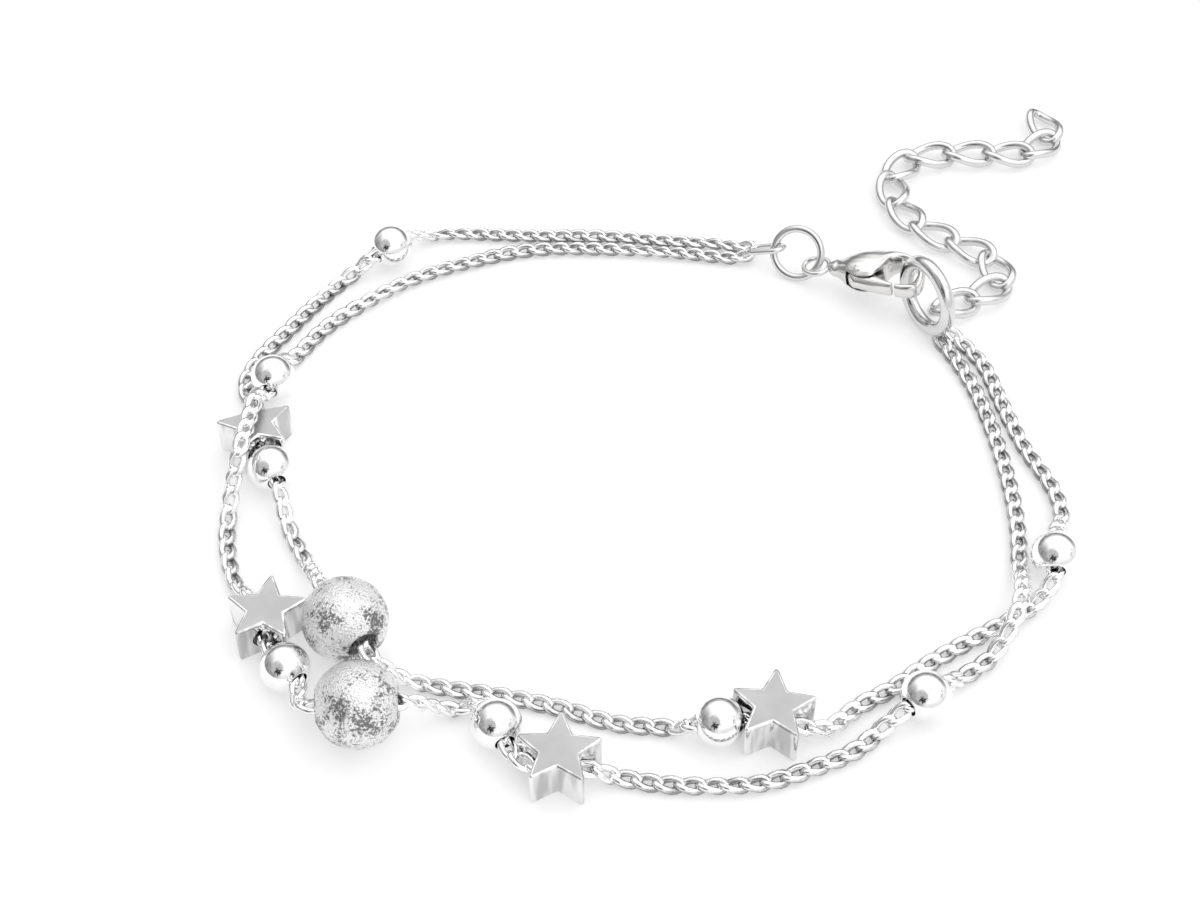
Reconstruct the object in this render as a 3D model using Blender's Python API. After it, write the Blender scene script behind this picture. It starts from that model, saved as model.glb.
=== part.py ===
"""Layered charm bracelet, lying as a loop with its clasp closed and its extender free.

Metres, +Z up. The floor that the bracelet lies on is Z = 0.
"""

import math

import bmesh
import bpy
from mathutils import Matrix, Vector

# General sizes
CLEARANCE = 0.0003
STRAND_DIAMETER = 0.0011
STRAND_STEP = 0.0027

# Charm sizes
BEAD_DIAMETER = 0.0035
BEAD_BORE = 0.0017
BALL_DIAMETER = 0.0060
BALL_BORE = 0.0026
BALL_WALL = 0.0005
STAR_RADIUS = 0.00295
STAR_WAIST = 0.00145
STAR_THICKNESS = 0.0030
STAR_BORE = 0.0017
STAR_EDGE = 0.00014
STAR_TIP = 0.00022
STAR_TIP_SPREAD = 0.55
ROUND_SIDES = 16

# Ring and link sizes
LINK_LENGTH = 0.0037
LINK_WIDTH = 0.0022
LINK_WIRE = 0.00045
JUMP_RING_DIAMETER = 0.0047
JUMP_RING_WIRE = 0.00065
JUMP_RING_LEAN = math.radians(60)
JUMP_RING_TURN = math.radians(-25)
END_RING_DIAMETER = 0.0068
END_RING_WIRE = 0.0012
RING_SEGMENTS = 20
WIRE_SIDES = 6

# Extender sizes
EXTENDER_PITCH = 0.0034
EXTENDER_WIDTH = 0.0029
EXTENDER_WIRE = 0.0006
EXTENDER_MELD = 0.00012
EXTENDER_TWIST = math.radians(45)
EXTENDER_SEGMENTS = 12

# Clasp sizes
CLASP_LENGTH = 0.0094
CLASP_WIDTH = 0.0039
CLASP_THICKNESS = 0.0026
CLASP_EYE_RADIUS = 0.1117 * CLASP_LENGTH
CLASP_EYE_WIRE = 0.00045
CLASP_EDGE = 0.00022
LEVER_THICKNESS = 0.0012
LEVER_BOSS = 0.0018
LEVER_PIN = 0.0006
PIN_CLEARANCE = 0.0002

# Shares of the clasp's length and half width, from its neck round the back to the hook's point.
CLASP_OUTSIDE = [
    (0.13, 0.28), (0.22, 0.42), (0.34, 0.78), (0.47, 1.02), (0.60, 1.10), (0.74, 1.00),
    (0.86, 0.76), (0.94, 0.42), (0.985, -0.05), (1.00, -0.55), (0.985, -0.98), (0.93, -1.20),
    (0.85, -1.28), (0.77, -1.28),
]
# From the hook's point back round the window, and then under the lever's boss to the neck.
CLASP_INSIDE = [
    (0.785, -0.90), (0.86, -0.92), (0.915, -0.74), (0.925, -0.30), (0.912, 0.14),
    (0.86, 0.44), (0.78, 0.56), (0.70, 0.50), (0.645, 0.26), (0.625, -0.10),
    (0.60, -0.45), (0.56, -0.80), (0.53, -1.02), (0.43, -1.04), (0.33, -0.84), (0.22, -0.46),
    (0.13, -0.28),
]
CLASP_WINDOW_END = 0.925
POCKET_REACH = 0.73
PIN_SHARE = 0.94
# Shares of the clasp's length and of its half thickness.
CLASP_SWELL = [
    (0.10, 0.24), (0.22, 0.50), (0.38, 0.95), (0.50, 1.00), (0.66, 0.85), (0.85, 0.55),
    (1.00, 0.48),
]
LEVER_PLACE = (0.425 * CLASP_LENGTH, -0.55 * CLASP_WIDTH / 2)
LEVER_REACH = 0.345 * CLASP_LENGTH - CLEARANCE
# Shares of the lever's reach, from the boss along its inner side and back along its outer side.
LEVER_ARM = [
    (0.42, 0.09), (0.68, -0.07), (0.90, -0.18), (1.00, -0.24), (0.985, -0.44),
    (0.75, -0.435), (0.45, -0.39), (0.15, -0.325),
]

# Layout of the bracelet on the floor. The middle of the layout grid becomes the origin.
LAYOUT_MIDDLE = (0.00629, 0.00482)
JUMP_RING_PLACE = (0.01635, 0.02035)
CLASP_EYE_PLACE = (0.01790, 0.01930, 0.00160)
CLASP_HEADING = math.radians(-22.0)
CLASP_PITCH = math.radians(12.0)
END_RING_HEADING = math.radians(-62)
LINK_START = (0.01216, 0.02209, 0.00086)
LINK_END = (0.01550, 0.02070, 0.00240)
LINK_TILT = (0.20, 0.45, 0.87)

# Stops of each strand, from the end ring round to the strand link.
# A charm stop is (kind, x, y, heading in degrees). A star's first point is to the right of its
# heading, or to the left of it for a star_left.
# A plain stop is (kind, x, y, share), the share of the way from the floor to the kind's height.
OUTER_ROUTE = [
    ("floor", 0.02750, 0.01125, 0),
    ("floor", 0.02805, 0.01005, 0),
    ("floor", 0.02880, 0.00802, 0),
    ("floor", 0.02960, 0.00500, 0),
    ("floor", 0.03040, -0.00060, 0),
    ("floor", 0.03068, -0.00690, 0),
    ("floor", 0.03025, -0.01170, 0),
    ("over_strand", 0.02965, -0.01530, 1),
    ("over_strand", 0.02890, -0.01760, 1),
    ("floor", 0.02691, -0.02024, 0),
    ("floor", 0.02450, -0.02195, 0),
    ("bead", 0.02189, -0.02421, -145),
    ("floor", 0.01870, -0.02620, 0),
    ("floor", 0.01698, -0.02774, 0),
    ("floor", 0.01444, -0.02892, 0),
    ("floor", 0.01080, -0.03023, 0),
    ("floor", 0.00732, -0.03047, 0),
    ("floor", 0.00379, -0.03031, 0),
    ("floor", 0.00130, -0.02985, 0),
    ("star", -0.00268, -0.02920, 177),
    ("by_star", -0.00500, -0.02960, 0.95),
    ("bead", -0.00685, -0.02652, 112),
    ("by_bead", -0.00850, -0.02440, 0.45),
    ("floor", -0.00980, -0.02440, 0),
    ("by_ball", -0.01120, -0.02480, 0.40),
    ("ball", -0.01604, -0.02578, 184),
    ("by_ball", -0.02020, -0.02460, 0.60),
    ("bead", -0.02140, -0.02185, 132),
    ("star", -0.02310, -0.01760, 106),
    ("floor", -0.02600, -0.01360, 0),
    ("floor", -0.02706, -0.01024, 0),
    ("floor", -0.02735, -0.00736, 0),
    ("over_star", -0.02710, -0.00540, 0.45),
    ("over_star", -0.02655, -0.00340, 1),
    ("over_star", -0.02615, 0.00060, 1),
    ("over_star", -0.02600, 0.00240, 0.95),
    ("bead", -0.02545, 0.00615, 82),
    ("floor", -0.02435, 0.00937, 0),
    ("floor", -0.02237, 0.01284, 0),
    ("floor", -0.01957, 0.01580, 0),
    ("floor", -0.01553, 0.01900, 0),
    ("floor", -0.01072, 0.02115, 0),
    ("floor", -0.00573, 0.02265, 0),
    ("floor", 0.00084, 0.02275, 0),
    ("floor", 0.00758, 0.02215, 0),
    ("floor", 0.01135, 0.02150, 0),
]
INNER_ROUTE = [
    ("floor", 0.02860, 0.01235, 0),
    ("floor", 0.02933, 0.01080, 0),
    ("floor", 0.03046, 0.00870, 0),
    ("floor", 0.03120, 0.00490, 0),
    ("floor", 0.03239, -0.00042, 0),
    ("floor", 0.03385, -0.00440, 0),
    ("floor", 0.03405, -0.00720, 0),
    ("bead", 0.03258, -0.01190, -98),
    ("floor", 0.03060, -0.01560, 0),
    ("floor", 0.02849, -0.01693, 0),
    ("floor", 0.02590, -0.01851, 0),
    ("floor", 0.02249, -0.02070, 0),
    ("floor", 0.02010, -0.02260, 0),
    ("floor", 0.01745, -0.02415, 0),
    ("by_star", 0.01500, -0.02635, 0.40),
    ("star", 0.01152, -0.02570, 173),
    ("bead", 0.00793, -0.02627, 188),
    ("floor", 0.00480, -0.02590, 0),
    ("floor", 0.00114, -0.02557, 0),
    ("floor", -0.00270, -0.02427, 0),
    ("floor", -0.00693, -0.02319, 0),
    ("floor", -0.01010, -0.02270, 0),
    ("floor", -0.01270, -0.02215, 0),
    ("ball", -0.01748, -0.01871, 122),
    ("floor", -0.02130, -0.01130, 0),
    ("floor", -0.02267, -0.00862, 0),
    ("bead", -0.02450, -0.00345, 112),
    ("star_left", -0.02600, 0.00015, 90),
    ("by_star", -0.02570, 0.00270, 0.40),
    ("floor", -0.02635, 0.00370, 0),
    ("floor", -0.02785, 0.00600, 0),
    ("floor", -0.02720, 0.00920, 0),
    ("floor", -0.02500, 0.01300, 0),
    ("floor", -0.02305, 0.01620, 0),
    ("floor", -0.02067, 0.01930, 0),
    ("bead", -0.01740, 0.02160, 42),
    ("floor", -0.01430, 0.02440, 0),
    ("floor", -0.01088, 0.02469, 0),
    ("floor", -0.00577, 0.02443, 0),
    ("floor", 0.00144, 0.02430, 0),
    ("floor", 0.00617, 0.02375, 0),
    ("floor", 0.01000, 0.02340, 0),
    ("floor", 0.01195, 0.02305, 0),
]
EXTENDER_ROUTE = [
    (0.02735, 0.01475),
    (0.02860, 0.01530),
    (0.03080, 0.01620),
    (0.03310, 0.01760),
    (0.03330, 0.02040),
    (0.03110, 0.02230),
    (0.02800, 0.02430),
    (0.02600, 0.02640),
    (0.02530, 0.02900),
    (0.02560, 0.03230),
    (0.02780, 0.03470),
    (0.03170, 0.03510),
    (0.03510, 0.03510),
    (0.03840, 0.03510),
    (0.04030, 0.03680),
    (0.04000, 0.03950),
    (0.03890, 0.04180),
]


def clear_scene():
    for old in list(bpy.data.objects):
        bpy.data.objects.remove(old, do_unlink=True)


def material(name, colour, roughness, metallic):
    made = bpy.data.materials.new(name)
    made.use_nodes = True
    shader = made.node_tree.nodes["Principled BSDF"]
    shader.inputs["Base Color"].default_value = (*colour, 1.0)
    shader.inputs["Roughness"].default_value = roughness
    shader.inputs["Metallic"].default_value = metallic
    return made


def from_layout(x, y, z=0.0):
    return Vector((x - LAYOUT_MIDDLE[0], y - LAYOUT_MIDDLE[1], z))


def object_from(bm, name, finish, place=None):
    """Turns a bmesh into a named object with its faces pointing out."""
    bmesh.ops.recalc_face_normals(bm, faces=bm.faces)
    mesh = bpy.data.meshes.new(name)
    bm.to_mesh(mesh)
    bm.free()
    mesh.shade_smooth()
    mesh.set_sharp_from_angle(angle=math.radians(35))
    made = bpy.data.objects.new(name, mesh)
    bpy.context.collection.objects.link(made)
    made.data.materials.append(finish)
    if place is not None:
        made.matrix_world = place
    return made


def cut(target, cutter, operation="DIFFERENCE"):
    """Adds a live exact boolean and hides its cutter from the render."""
    cutter.hide_render = True
    cutter.display_type = "WIRE"
    joint = target.modifiers.new(operation.title() + " " + cutter.name, "BOOLEAN")
    joint.operation = operation
    joint.solver = "EXACT"
    joint.object = cutter


def frame_from(place, along, up):
    """A placement whose X runs along one direction and whose Z is near another."""
    x = along.normalized()
    y = up.cross(x).normalized()
    z = x.cross(y)
    rotation = Matrix((x, y, z)).transposed().to_4x4()
    return Matrix.Translation(place) @ rotation


def swept_ring(bm, centres, sides, frames, radius):
    """Skins a closed wire round a ring of centres, each with its own two side directions."""
    rings = []
    for centre, (first, second) in zip(centres, frames):
        ring = []
        for k in range(sides):
            angle = 2 * math.pi * (k + 0.5) / sides
            offset = first * math.cos(angle) + second * math.sin(angle)
            ring.append(bm.verts.new(centre + offset * radius))
        rings.append(ring)
    for i, ring in enumerate(rings):
        following = rings[(i + 1) % len(rings)]
        for k in range(sides):
            after = (k + 1) % sides
            bm.faces.new((ring[k], ring[after], following[after], following[k]))


def closed_wire(bm, centres, sides, radius):
    """Skins a wire round a closed path, keeping its sides square to the path."""
    count = len(centres)
    middle = sum(centres, Vector()) / count
    frames = []
    for i in range(count):
        tangent = (centres[(i + 1) % count] - centres[i - 1]).normalized()
        outward = centres[i] - middle
        outward = (outward - tangent * outward.dot(tangent)).normalized()
        frames.append((outward, tangent.cross(outward)))
    swept_ring(bm, centres, sides, frames, radius)


def smooth_points(stops, step, pinned):
    """Reads points off a smooth curve through the stops, none more than a step apart.

    A pinned pair of neighbouring stops stays joined by one straight run, as inside a bore.
    """
    points = [stops[0]]
    for i in range(len(stops) - 1):
        before = stops[max(i - 1, 0)]
        start = stops[i]
        end = stops[i + 1]
        after = stops[min(i + 2, len(stops) - 1)]
        if i in pinned:
            points.append(end)
            continue
        span = (end - start).length
        leave = (end - before).normalized() * span
        arrive = (after - start).normalized() * span
        if i - 1 in pinned:
            leave = (start - before).normalized() * span
        if i + 1 in pinned:
            arrive = (after - end).normalized() * span
        pieces = max(1, math.ceil(span / step))
        for k in range(1, pieces + 1):
            t = k / pieces
            point = start * (2 * t**3 - 3 * t**2 + 1) + leave * (t**3 - 2 * t**2 + t)
            point += end * (3 * t**2 - 2 * t**3) + arrive * (t**3 - t**2)
            points.append(point)
    return points


def turned(bm, profile, sides):
    """Turns a closed profile of (radius, height) pairs about the X axis."""
    rings = []
    for radius, height in profile:
        ring = []
        for k in range(sides):
            angle = 2 * math.pi * k / sides
            ring.append(bm.verts.new((height, radius * math.cos(angle), radius * math.sin(angle))))
        rings.append(ring)
    for i, ring in enumerate(rings):
        following = rings[(i + 1) % len(rings)]
        for k in range(sides):
            after = (k + 1) % sides
            bm.faces.new((ring[k], ring[after], following[after], following[k]))


def arc_profile(radius, bore, steps):
    """Points of a sphere's side from one bore mouth to the other, as (radius, height)."""
    mouth = math.asin(bore / 2 / radius)
    points = []
    for k in range(steps + 1):
        angle = mouth + (math.pi - 2 * mouth) * k / steps
        points.append((radius * math.sin(angle), radius * math.cos(angle)))
    return points


def bead_mesh(bm):
    """A small solid bead with a straight bore along X."""
    turned(bm, arc_profile(BEAD_DIAMETER / 2, BEAD_BORE, 9), ROUND_SIDES)


def ball_mesh(bm):
    """A larger hollow ball with an even wall and a mouth at each end along X."""
    outer = arc_profile(BALL_DIAMETER / 2, BALL_BORE, 12)
    inner = arc_profile(BALL_DIAMETER / 2 - BALL_WALL, BALL_BORE, 8)
    turned(bm, outer + inner[::-1], ROUND_SIDES)


def star_outline(radius, waist, tip):
    """The star's outline, with each point cut by a small two-sided round."""
    corners = []
    for k in range(10):
        reach = radius if k % 2 == 0 else waist
        angle = math.pi / 2 + math.pi * k / 5
        corners.append(Vector((reach * math.cos(angle), reach * math.sin(angle))))
    outline = []
    for k, corner in enumerate(corners):
        if k % 2:
            outline.append(corner)
            continue
        before = (corners[k - 1] - corner).normalized()
        after = (corners[(k + 1) % 10] - corner).normalized()
        pulled = corner * (1 - tip / radius)
        spread = tip * STAR_TIP_SPREAD
        outline.extend((pulled + before * spread, corner * (1 - spread / radius),
                        pulled + after * spread))
    return outline


def star_mesh(bm):
    """A thick star with softened rims, lying flat, centred on its own middle."""
    full = star_outline(STAR_RADIUS, STAR_WAIST, STAR_TIP)
    rim = [point * (1 - STAR_EDGE / point.length) for point in full]
    half = STAR_THICKNESS / 2
    levels = ((rim, half), (full, half - STAR_EDGE), (full, STAR_EDGE - half), (rim, -half))
    rings = [[bm.verts.new((p.x, p.y, z)) for p in outline] for outline, z in levels]
    count = len(full)
    for upper, lower in zip(rings, rings[1:]):
        for k in range(count):
            after = (k + 1) % count
            bm.faces.new((upper[k], lower[k], lower[after], upper[after]))
    for ring, z in ((rings[0], half), (rings[-1], -half)):
        centre = bm.verts.new((0, 0, z))
        for k in range(count):
            bm.faces.new((ring[k], ring[(k + 1) % count], centre))


def star_bore_offset():
    """The bore passes through the two notches under the side points."""
    return -STAR_WAIST * math.sin(math.pi / 10)


def make_charm(kind, number, place, heading, finish):
    """Makes one charm on its strand's route and returns the half length that it pins straight."""
    turn = Matrix.Rotation(heading, 4, "Z")
    bm = bmesh.new()
    if kind == "bead":
        bead_mesh(bm)
        object_from(bm, f"bead_{number}", finish, Matrix.Translation(place) @ turn)
    elif kind == "ball":
        ball_mesh(bm)
        name = "ball_outer" if number == 1 else "ball_inner"
        object_from(bm, name, finish, Matrix.Translation(place) @ turn)
    else:
        star_mesh(bm)
        name = "star_" + "abcd"[number - 1]
        star = object_from(bm, name, finish, Matrix.Translation(place) @ turn)
        drill = bmesh.new()
        bmesh.ops.create_cone(drill, cap_ends=True, segments=12, radius1=STAR_BORE / 2,
                              radius2=STAR_BORE / 2, depth=4 * STAR_RADIUS)
        across = Matrix.Rotation(math.pi / 2, 4, "Y")
        offset = Matrix.Translation((0, star_bore_offset(), 0))
        cutter = object_from(drill, name + "_drill", finish,
                             Matrix.Translation(place) @ turn @ offset @ across)
        cut(star, cutter)


CHARM_HEIGHT = {"bead": BEAD_DIAMETER / 2, "ball": BALL_DIAMETER / 2, "star": STAR_THICKNESS / 2}
CHARM_REACH = {
    "bead": BEAD_DIAMETER / 2 - CLEARANCE / 3,
    "ball": BALL_DIAMETER / 2 + CLEARANCE,
    "star": STAR_WAIST + CLEARANCE / 2,
}
PLAIN_HEIGHT = {
    "floor": STRAND_DIAMETER / 2,
    "over_strand": STRAND_DIAMETER * 1.5 + CLEARANCE,
    "over_star": STAR_THICKNESS + STRAND_DIAMETER / 2 + CLEARANCE,
    "by_ball": BALL_DIAMETER / 2,
    "by_bead": BEAD_DIAMETER / 2,
    "by_star": STAR_THICKNESS / 2,
}


def make_strand(name, route, counts, finishes):
    """Lays one strand along its stops and threads its charms."""
    stops = []
    pinned = set()
    for kind, x, y, value in route:
        if kind in PLAIN_HEIGHT:
            low = PLAIN_HEIGHT["floor"]
            stops.append(from_layout(x, y, low + value * (PLAIN_HEIGHT[kind] - low)))
            continue
        left = kind == "star_left"
        kind = kind.removesuffix("_left")
        place = from_layout(x, y, CHARM_HEIGHT[kind])
        counts[kind] += 1
        way = math.radians(value)
        direction = Vector((math.cos(way), math.sin(way), 0))
        turn = way if left or kind != "star" else way + math.pi
        make_charm(kind, counts[kind], place, turn, finishes[kind])
        if kind == "star":
            place = place + Vector((-math.sin(turn), math.cos(turn), 0)) * star_bore_offset()
        pinned.add(len(stops))
        stops.append(place - direction * CHARM_REACH[kind])
        stops.append(place + direction * CHARM_REACH[kind])
    points = smooth_points(stops, STRAND_STEP, pinned)
    for point in points:
        point.z = max(point.z, PLAIN_HEIGHT["floor"])
    curve = bpy.data.curves.new(name, "CURVE")
    curve.dimensions = "3D"
    curve.bevel_depth = STRAND_DIAMETER / 2
    curve.bevel_resolution = 2
    curve.use_fill_caps = True
    spline = curve.splines.new("POLY")
    spline.points.add(len(points) - 1)
    for target, point in zip(spline.points, points):
        target.co = (*point, 1.0)
    strand = bpy.data.objects.new(name, curve)
    bpy.context.collection.objects.link(strand)
    strand.data.materials.append(finishes["strand"])


def oval_path(length, width, wire, segments):
    """Centres of a long oval link: two straight sides and two half rounds, along X."""
    turn = (width - wire) / 2
    straight = (length - wire) / 2 - turn
    centres = []
    for k in range(segments):
        angle = 2 * math.pi * (k + 0.5) / segments
        shift = straight if math.cos(angle) > 0 else -straight
        centres.append(Vector((turn * math.cos(angle) + shift, turn * math.sin(angle), 0)))
    return centres


def make_strand_link(finish):
    start = from_layout(*LINK_START)
    end = from_layout(*LINK_END)
    bm = bmesh.new()
    path = oval_path(LINK_LENGTH, LINK_WIDTH, LINK_WIRE, 16)
    closed_wire(bm, path, WIRE_SIDES, LINK_WIRE / 2)
    place = frame_from((start + end) / 2, end - start, Vector(LINK_TILT))
    object_from(bm, "strand_link", finish, place)


def ring_mesh(bm, diameter, wire):
    """A round ring in its own XY plane."""
    radius = (diameter - wire) / 2
    path = []
    for k in range(RING_SEGMENTS):
        angle = 2 * math.pi * k / RING_SEGMENTS
        path.append(Vector((radius * math.cos(angle), radius * math.sin(angle), 0)))
    closed_wire(bm, path, WIRE_SIDES, wire / 2)


def make_jump_ring(finish):
    """The ring leans back, turned a little, and touches the floor with its near side."""
    bm = bmesh.new()
    ring_mesh(bm, JUMP_RING_DIAMETER, JUMP_RING_WIRE)
    radius = (JUMP_RING_DIAMETER - JUMP_RING_WIRE) / 2
    height = radius * math.sin(JUMP_RING_LEAN) + JUMP_RING_WIRE / 2
    place = from_layout(*JUMP_RING_PLACE, height)
    lean = Matrix.Rotation(JUMP_RING_TURN, 4, "Z") @ Matrix.Rotation(JUMP_RING_LEAN, 4, "X")
    object_from(bm, "jump_ring", finish, Matrix.Translation(place) @ lean)


def clasp_frame():
    """The clasp's own frame: X from its eye to its nose, Z across its flat side."""
    turn = Matrix.Rotation(CLASP_HEADING, 4, "Z") @ Matrix.Rotation(-CLASP_PITCH, 4, "Y")
    return Matrix.Translation(from_layout(*CLASP_EYE_PLACE)) @ turn


def make_end_ring(finish):
    """The ring stands on its edge, with one side through the clasp's mouth."""
    radius = (END_RING_DIAMETER - END_RING_WIRE) / 2
    inside = CLASP_WINDOW_END * CLASP_LENGTH - CLEARANCE - END_RING_WIRE / 2
    held = clasp_frame() @ Vector((inside, -CLASP_WIDTH * 0.09, 0))
    height = radius + END_RING_WIRE / 2
    across = Vector((math.cos(END_RING_HEADING), math.sin(END_RING_HEADING), 0))
    drop = height - held.z
    reach = math.sqrt(radius**2 - drop**2)
    place = Vector((held.x, held.y, height)) + across * reach
    bm = bmesh.new()
    ring_mesh(bm, END_RING_DIAMETER, END_RING_WIRE)
    side = across.cross(Vector((0, 0, 1)))
    object_from(bm, "end_ring", finish, frame_from(place, across, side))


def extender_link(bm, start, end):
    """One curb link between two joints, its ends twisted opposite ways so that it can pass on."""
    half = ((end - start).length + EXTENDER_WIRE - EXTENDER_MELD) / 2
    side = (EXTENDER_WIDTH - EXTENDER_WIRE) / 2
    place = frame_from((start + end) / 2, end - start, Vector((0, 0, 1)))
    centres = []
    for k in range(EXTENDER_SEGMENTS):
        angle = 2 * math.pi * (k + 0.5) / EXTENDER_SEGMENTS
        along = half * math.cos(angle)
        across = side * math.sin(angle)
        twist = EXTENDER_TWIST * along / half
        centres.append(place @ Vector((along, across * math.cos(twist), across * math.sin(twist))))
    closed_wire(bm, centres, WIRE_SIDES, EXTENDER_WIRE / 2)


def make_extender(finish):
    """The free chain: its joints step along the route one pitch at a time."""
    height = EXTENDER_WIDTH * 0.5 * math.sin(EXTENDER_TWIST) * 0.55 + EXTENDER_WIRE / 2
    stops = [from_layout(x, y, height) for x, y in EXTENDER_ROUTE]
    dense = smooth_points(stops, EXTENDER_PITCH / 30, set())
    joints = [dense[0]]
    for point in dense:
        if (point - joints[-1]).length >= EXTENDER_PITCH:
            joints.append(point)
    first = None
    for number, (start, end) in enumerate(zip(joints, joints[1:])):
        bm = bmesh.new()
        extender_link(bm, start, end)
        if first is None:
            first = object_from(bm, "extender_chain", finish)
        else:
            cut(first, object_from(bm, f"extender_link_{number}", finish), "UNION")


def make_clasp(finish):
    """Body: an eye, a neck, a swelling back and a hook that curls round to a blunt point."""
    place = clasp_frame()
    half = CLASP_WIDTH / 2
    shares = CLASP_OUTSIDE + CLASP_INSIDE
    outline = [Vector((u * CLASP_LENGTH, w * half, 0)) for u, w in shares]
    body = plate_from(outline, "clasp_body", finish, place)
    bm = bmesh.new()
    ring_mesh(bm, 2 * CLASP_EYE_RADIUS + CLASP_EYE_WIRE, CLASP_EYE_WIRE)
    cut(body, object_from(bm, "clasp_eye", finish, place), "UNION")
    # A pocket takes the lever's boss between two cheeks, and a pin joins the cheeks again.
    around = LEVER_BOSS / 2 + PIN_CLEARANCE
    deep = LEVER_THICKNESS / 2 + PIN_CLEARANCE
    low = Vector((LEVER_PLACE[0] - around, -CLASP_WIDTH, -deep))
    high = Vector((LEVER_PLACE[0] + LEVER_REACH * POCKET_REACH, LEVER_PLACE[1] + around, deep))
    bm = bmesh.new()
    bmesh.ops.create_cube(bm, size=1.0)
    size = high - low
    bmesh.ops.scale(bm, vec=size, verts=bm.verts)
    bmesh.ops.translate(bm, vec=(high + low) / 2, verts=bm.verts)
    cut(body, object_from(bm, "clasp_pocket", finish, place))
    bm = bmesh.new()
    pin_length = 2 * clasp_half_thickness(LEVER_PLACE[0]) * PIN_SHARE
    bmesh.ops.create_cone(bm, cap_ends=True, segments=12, radius1=LEVER_PIN / 2,
                          radius2=LEVER_PIN / 2, depth=pin_length)
    bmesh.ops.translate(bm, vec=(*LEVER_PLACE, 0), verts=bm.verts)
    cut(body, object_from(bm, "clasp_pin", finish, place), "UNION")


def make_lever(finish):
    """The sprung lever: a drilled boss on the pin and a curved arm that shuts the hook."""
    boss = LEVER_BOSS / 2
    outline = []
    for k in range(11):
        angle = math.radians(255 - 20 * k)
        outline.append(Vector((boss * math.cos(angle), boss * math.sin(angle), 0)))
    outline += [Vector((x * LEVER_REACH, y * LEVER_REACH, 0)) for x, y in LEVER_ARM]
    bm = bmesh.new()
    half = LEVER_THICKNESS / 2
    count = len(outline)
    rings = []
    for z in (half, -half):
        rings.append([bm.verts.new((p.x, p.y, z)) for p in outline])
    for k in range(count):
        after = (k + 1) % count
        bm.faces.new((rings[0][k], rings[1][k], rings[1][after], rings[0][after]))
    for ring in rings:
        bm.faces.new(ring)
    bmesh.ops.triangulate(bm, faces=[f for f in bm.faces if len(f.verts) > 4])
    place = clasp_frame() @ Matrix.Translation((*LEVER_PLACE, 0))
    lever = object_from(bm, "clasp_lever", finish, place)
    bm = bmesh.new()
    bore = LEVER_PIN / 2 + PIN_CLEARANCE
    bmesh.ops.create_cone(bm, cap_ends=True, segments=12, radius1=bore, radius2=bore,
                          depth=4 * LEVER_THICKNESS)
    cut(lever, object_from(bm, "lever_drill", finish, place))


def clasp_half_thickness(u):
    """The clasp is thickest over the lever's pivot and thins toward its neck and nose."""
    share = u / CLASP_LENGTH
    for (a, low), (b, high) in zip(CLASP_SWELL, CLASP_SWELL[1:]):
        if share <= b:
            blend = max(0.0, (share - a) / (b - a))
            return CLASP_THICKNESS / 2 * (low + (high - low) * blend)
    return CLASP_THICKNESS / 2 * CLASP_SWELL[-1][1]


def plate_from(outline, name, finish, place):
    """A plate with softened rims whose thickness follows the clasp's swell."""
    bm = bmesh.new()
    count = len(outline)
    inset = []
    for k, point in enumerate(outline):
        tangent = (outline[(k + 1) % count] - outline[k - 1]).normalized()
        inward = Vector((tangent.y, -tangent.x, 0))
        inset.append(point + inward * CLASP_EDGE)
    rings = []
    for points, share in ((inset, 1.0), (outline, 0.55), (outline, -0.55), (inset, -1.0)):
        ring = []
        for base, point in zip(outline, points):
            ring.append(bm.verts.new((point.x, point.y, share * clasp_half_thickness(base.x))))
        rings.append(ring)
    for upper, lower in zip(rings, rings[1:]):
        for k in range(count):
            after = (k + 1) % count
            bm.faces.new((upper[k], lower[k], lower[after], upper[after]))
    bm.faces.new(rings[0])
    bm.faces.new(rings[-1])
    bmesh.ops.triangulate(bm, faces=[f for f in bm.faces if len(f.verts) > 4])
    return object_from(bm, name, finish, place)


def build():
    clear_scene()
    polished = material("polished_silver", (0.86, 0.86, 0.87), 0.08, 1.0)
    satin = material("satin_silver", (0.72, 0.72, 0.73), 0.35, 1.0)
    frosted = material("frosted_silver", (0.80, 0.80, 0.81), 0.55, 1.0)
    warm = material("cast_silver", (0.78, 0.77, 0.74), 0.18, 1.0)
    finishes = {"bead": polished, "ball": frosted, "star": satin, "strand": polished}
    counts = {"bead": 0, "ball": 0, "star": 0}
    make_strand("strand_outer", OUTER_ROUTE, counts, finishes)
    make_strand("strand_inner", INNER_ROUTE, counts, finishes)
    make_strand_link(polished)
    make_jump_ring(polished)
    make_end_ring(polished)
    make_extender(polished)
    make_clasp(warm)
    make_lever(warm)


build()
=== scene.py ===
"""Looks of the layered charm bracelet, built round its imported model.

Metres, +Z up. The floor that the bracelet lies on is Z = 0.
"""
import math

import bmesh
import bpy
from mathutils import Matrix, Vector


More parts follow.
